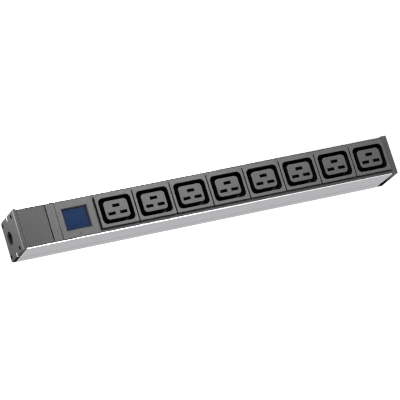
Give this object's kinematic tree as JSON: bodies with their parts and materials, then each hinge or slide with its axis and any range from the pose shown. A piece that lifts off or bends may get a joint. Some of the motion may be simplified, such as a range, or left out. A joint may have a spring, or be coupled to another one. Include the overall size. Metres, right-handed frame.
{
  "type": "rack power strip",
  "caption": "Metered rack power strip: aluminium channel with a row of high-current appliance sockets, a small display, a scroll button and end caps.",
  "frame": {"origin": "centre of the strip's flat back, the outer floor of its channel", "axes": "+X along the strip from the cord inlet to the far end, +Y across it, +Z out of the sockets' faces"},
  "size_m": [0.4382, 0.044, 0.0496],
  "materials": {
    "anodised_aluminium": "satin anodised extrusion with fine lines along its length",
    "cap_plastic": "dark grey moulded plastic, fine spark texture",
    "black_screw": "black zinc screws",
    "catch_plastic": "white moulded plastic",
    "grommet_rubber": "black soft rubber",
    "module_plastic": "dark grey moulded plastic, fine spark texture",
    "bezel_plastic": "dark warm grey moulded plastic",
    "window_clear": "clear acrylic",
    "lcd_blue": "blue display, switched on and blank",
    "holder_plastic": "black moulded plastic",
    "button_plastic": "black moulded plastic",
    "board_green": "green solder resist",
    "steel_screw": "zinc plated steel",
    "potting_black": "black potting case",
    "capacitor_sleeve": "dark blue sleeve",
    "lead_insulation": "red lead insulation",
    "block_plastic": "natural polyamide",
    "brass_parts": "plain brass",
    "wire_brown": "brown PVC",
    "wire_blue": "blue PVC",
    "wire_green": "green and yellow PVC",
    "copper": "bare copper bar",
    "tinned_copper": "tin plated copper alloy",
    "tray_plastic": "light grey insulating plastic",
    "insert_plastic": "dark grey moulded plastic"
  },
  "bodies": {
    "strip": {"housing_profile": "anodised_aluminium", "end_cap_left": "cap_plastic", "end_cap_right": "cap_plastic", "end_cap_screws_left": "black_screw", "end_cap_screws_right": "black_screw", "cable_grommet": "grommet_rubber", "bracket_catches": "catch_plastic", "blank_cover": "module_plastic", "filler_cover": "module_plastic", "display_bezel": "bezel_plastic", "display_window": "window_clear", "lcd_panel": "lcd_blue", "lcd_holder": "holder_plastic", "key_switch": "button_plastic", "meter_board": "board_green", "board_screws": "steel_screw", "supply_transformer": "potting_black", "supply_capacitor": "capacitor_sleeve", "current_transformer": "potting_black", "transformer_leads": "lead_insulation", "terminal_block": "block_plastic", "terminal_sleeves": "brass_parts", "terminal_screws": "steel_screw", "earth_bridge": "brass_parts", "earth_screw": "steel_screw", "wire_live": "wire_brown", "wire_neutral": "wire_blue", "wire_earth": "wire_green", "busbar_live": "copper", "busbar_neutral": "copper", "busbar_earth": "copper", "bar_lugs": "tinned_copper", "bar_screws": "steel_screw", "busbar_tray": "tray_plastic", "socket_frame_1": "module_plastic", "socket_insert_1": "insert_plastic", "socket_contacts_1": "tinned_copper", "socket_frame_2": "module_plastic", "socket_insert_2": "insert_plastic", "socket_contacts_2": "tinned_copper", "socket_frame_3": "module_plastic", "socket_insert_3": "insert_plastic", "socket_contacts_3": "tinned_copper", "socket_frame_4": "module_plastic", "socket_insert_4": "insert_plastic", "socket_contacts_4": "tinned_copper", "socket_frame_5": "module_plastic", "socket_insert_5": "insert_plastic", "socket_contacts_5": "tinned_copper", "socket_frame_6": "module_plastic", "socket_insert_6": "insert_plastic", "socket_contacts_6": "tinned_copper", "socket_frame_7": "module_plastic", "socket_insert_7": "insert_plastic", "socket_contacts_7": "tinned_copper", "socket_frame_8": "module_plastic", "socket_insert_8": "insert_plastic", "socket_contacts_8": "tinned_copper"},
    "button": {"scroll_button": "button_plastic"}
  },
  "joints": [
    {"name": "scroll_press", "type": "slide", "parent": "strip", "child": "button", "axis": [0, 0, -1], "range_m": [0, 0.0006], "stiffness_N_per_m": 600}
  ]
}
